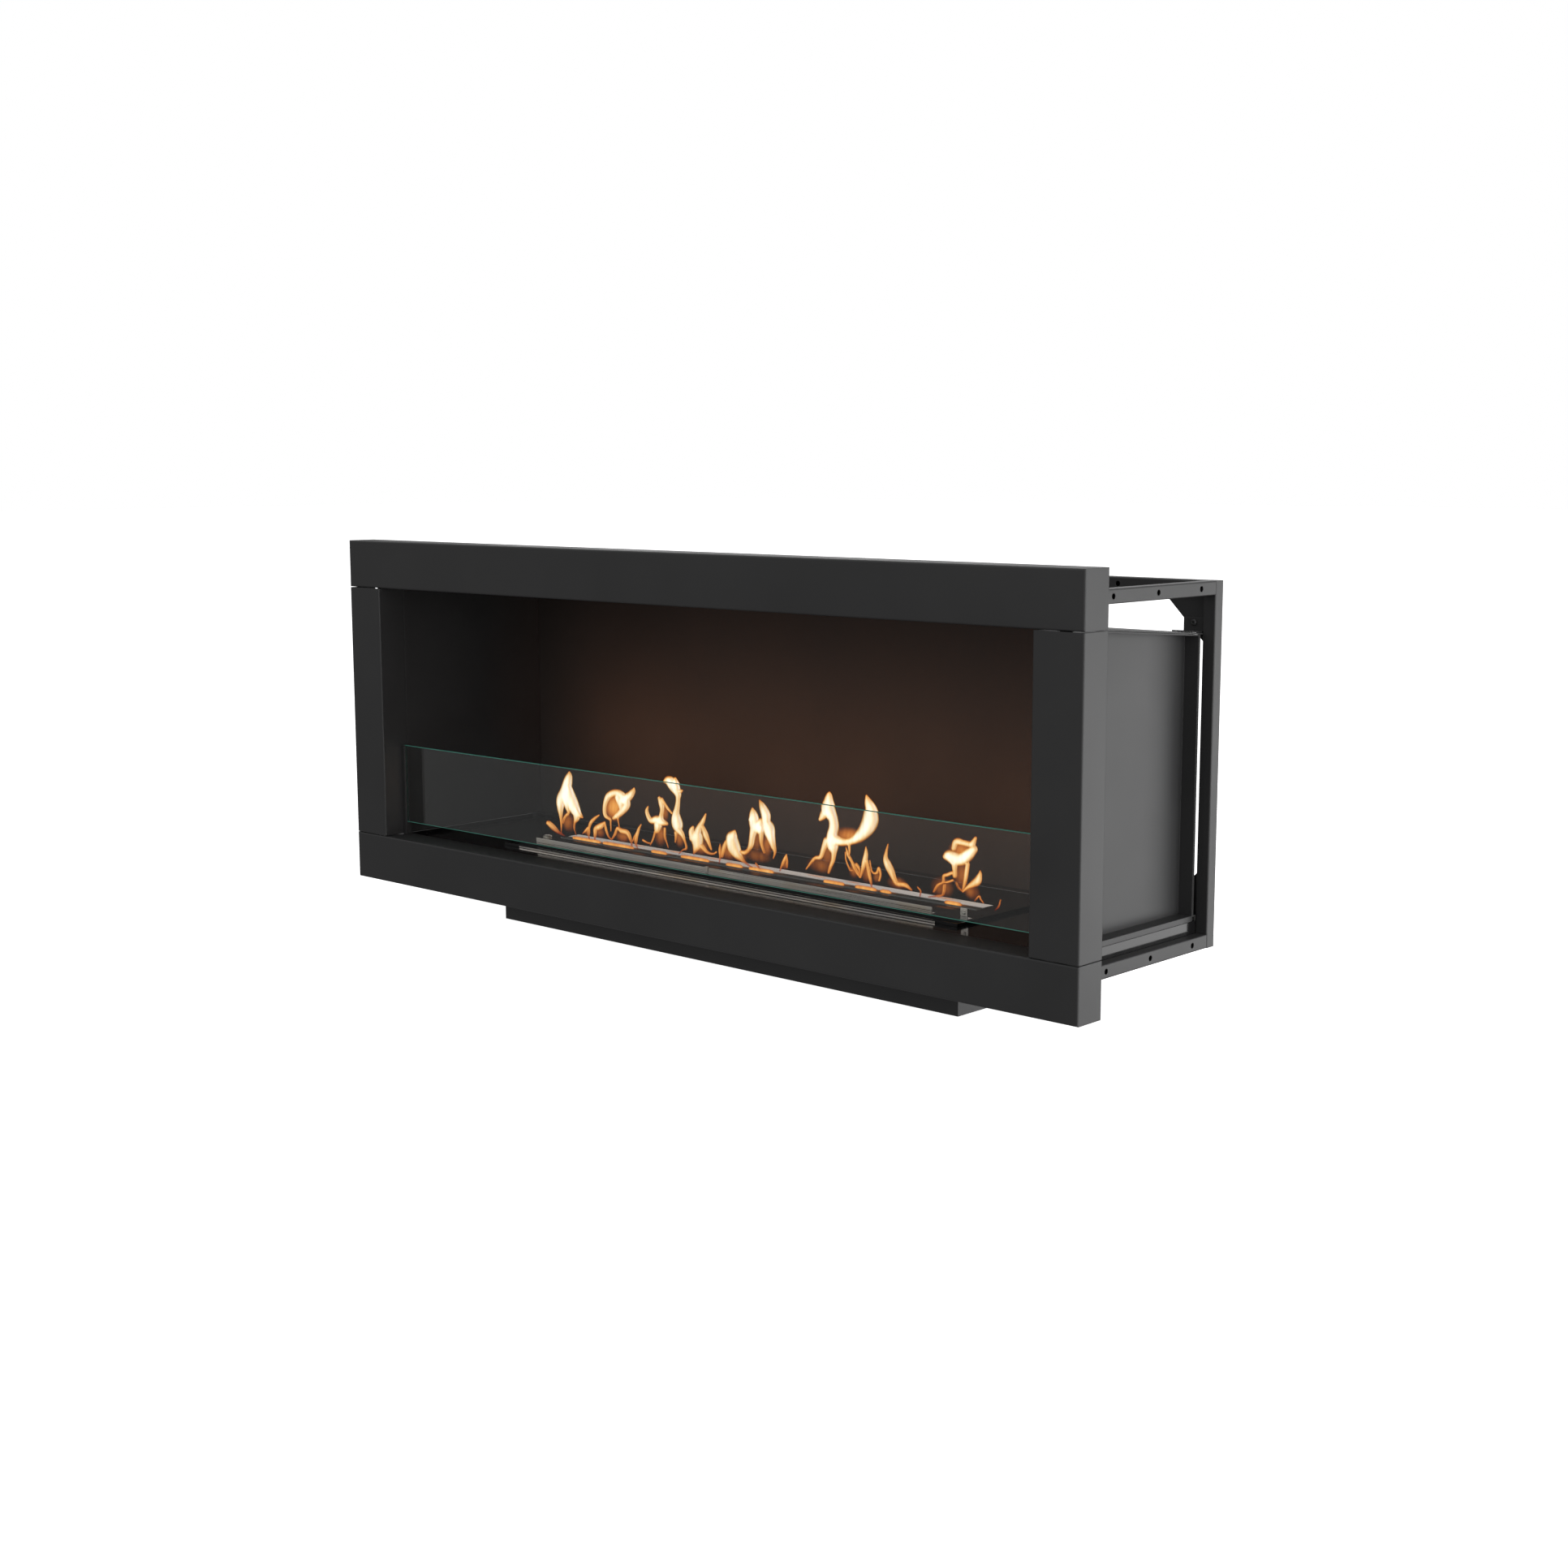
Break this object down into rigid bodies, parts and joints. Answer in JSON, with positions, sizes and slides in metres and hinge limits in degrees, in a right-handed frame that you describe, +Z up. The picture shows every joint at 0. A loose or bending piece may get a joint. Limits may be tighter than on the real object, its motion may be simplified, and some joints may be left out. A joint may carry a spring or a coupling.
{
  "type": "fireplace insert",
  "caption": "Black wall-insert fireplace with a one-sided firebox, low glass screen and a long lift-out ribbon burner with an electronically run flame.",
  "frame": {"origin": "middle of the overall width and depth, at the underside of the burner well, which is the lowest face", "axes": "+X to the right as seen from the front, +Y from the opening towards the back wall, +Z up"},
  "size_m": [1.55, 0.39, 0.647],
  "materials": {
    "black_coat": "satin black powder coat",
    "gloss_black": "glossy heat-resistant black",
    "clear_glass": "clear toughened, polished edge",
    "brushed_steel": "brushed along its length",
    "plated_steel": "bright zinc plate",
    "black_plastic": "moulded, fine grain",
    "red_plastic": "moulded",
    "ceramic": "unglazed technical ceramic",
    "circuit_board": "solder-masked laminate",
    "brass": "drawn",
    "flame": "burning vapour, visual only"
  },
  "bodies": {
    "insert": {"surround_bottom_beam": "black_coat", "surround_top_beam": "black_coat", "surround_left_post": "black_coat", "surround_right_post": "black_coat", "frame_front_left_post": "black_coat", "frame_rear_left_post": "black_coat", "frame_top_left_rail": "black_coat", "frame_bottom_left_rail": "black_coat", "frame_front_right_post": "black_coat", "frame_rear_right_post": "black_coat", "frame_top_right_rail": "black_coat", "frame_bottom_right_rail": "black_coat", "frame_front_top_rail": "black_coat", "frame_front_bottom_rail": "black_coat", "frame_rear_top_rail": "black_coat", "frame_rear_bottom_rail": "black_coat", "gusset_top_left": "black_coat", "gusset_bottom_left": "black_coat", "gusset_top_right": "black_coat", "gusset_bottom_right": "black_coat", "firebox_roof": "black_coat", "firebox_left_wall": "black_coat", "firebox_right_wall": "black_coat", "firebox_back_wall": "black_coat", "firebox_floor": "gloss_black", "corner_tab_left": "black_coat", "corner_tab_screw_left": "black_coat", "corner_tab_right": "black_coat", "corner_tab_screw_right": "black_coat", "glass_holder_left": "black_coat", "glass_holder_right": "black_coat", "burner_well": "black_coat", "mains_inlet": "black_plastic"},
    "screen": {"glass_screen": "clear_glass"},
    "burner": {"burner_tray_floor": "plated_steel", "burner_tray_sides": "plated_steel", "burner_tray_rear_wall": "plated_steel", "burner_top_plate": "gloss_black", "front_edge_trim": "brushed_steel", "flame_guard": "brushed_steel", "guard_clip": "brushed_steel", "flame_trough": "plated_steel", "flame_deflector": "brushed_steel", "vaporiser_tray": "brushed_steel", "heater_rod": "plated_steel", "glow_igniter": "ceramic", "sensor_bracket": "brushed_steel", "sensor_bracket_screw": "brushed_steel", "fuel_tank": "plated_steel", "filler_neck": "plated_steel", "fuel_pump": "black_plastic", "fuel_line": "brass", "control_board": "circuit_board", "fan_housing": "black_plastic"},
    "cap": {"filler_cap": "brushed_steel"},
    "float": {"fuel_float": "brass"},
    "impeller": {"fan_impeller": "black_plastic"},
    "rocker": {"power_rocker": "black_plastic"},
    "reset": {"reset_button": "red_plastic"}
  },
  "joints": [
    {"name": "glass_lift", "type": "slide", "parent": "insert", "child": "screen", "axis": [0, 0, 1], "range_m": [0, 0.14]},
    {"name": "burner_lift", "type": "slide", "parent": "insert", "child": "burner", "axis": [0, 0, 1], "range_m": [0, 0.15]},
    {"name": "cap_lift", "type": "slide", "parent": "burner", "child": "cap", "axis": [0, 0, 1], "range_m": [0, 0.02]},
    {"name": "float_swing", "type": "hinge", "parent": "burner", "child": "float", "pos_m": [-0.24, -0.04, 0.104], "axis": [0, -1, 0], "range_deg": [0, 38]},
    {"name": "fan_spin", "type": "hinge", "parent": "burner", "child": "impeller", "pos_m": [0.275, 0.127, 0.056], "axis": [0, 1, 0], "continuous": true},
    {"name": "rocker_tilt", "type": "hinge", "parent": "insert", "child": "rocker", "pos_m": [0.41, 0.1643, 0.056], "axis": [-1, 0, 0], "range_deg": [0, 14]},
    {"name": "reset_press", "type": "slide", "parent": "insert", "child": "reset", "axis": [0, -1, 0], "range_m": [0, 0.002], "stiffness_N_per_m": 300}
  ]
}
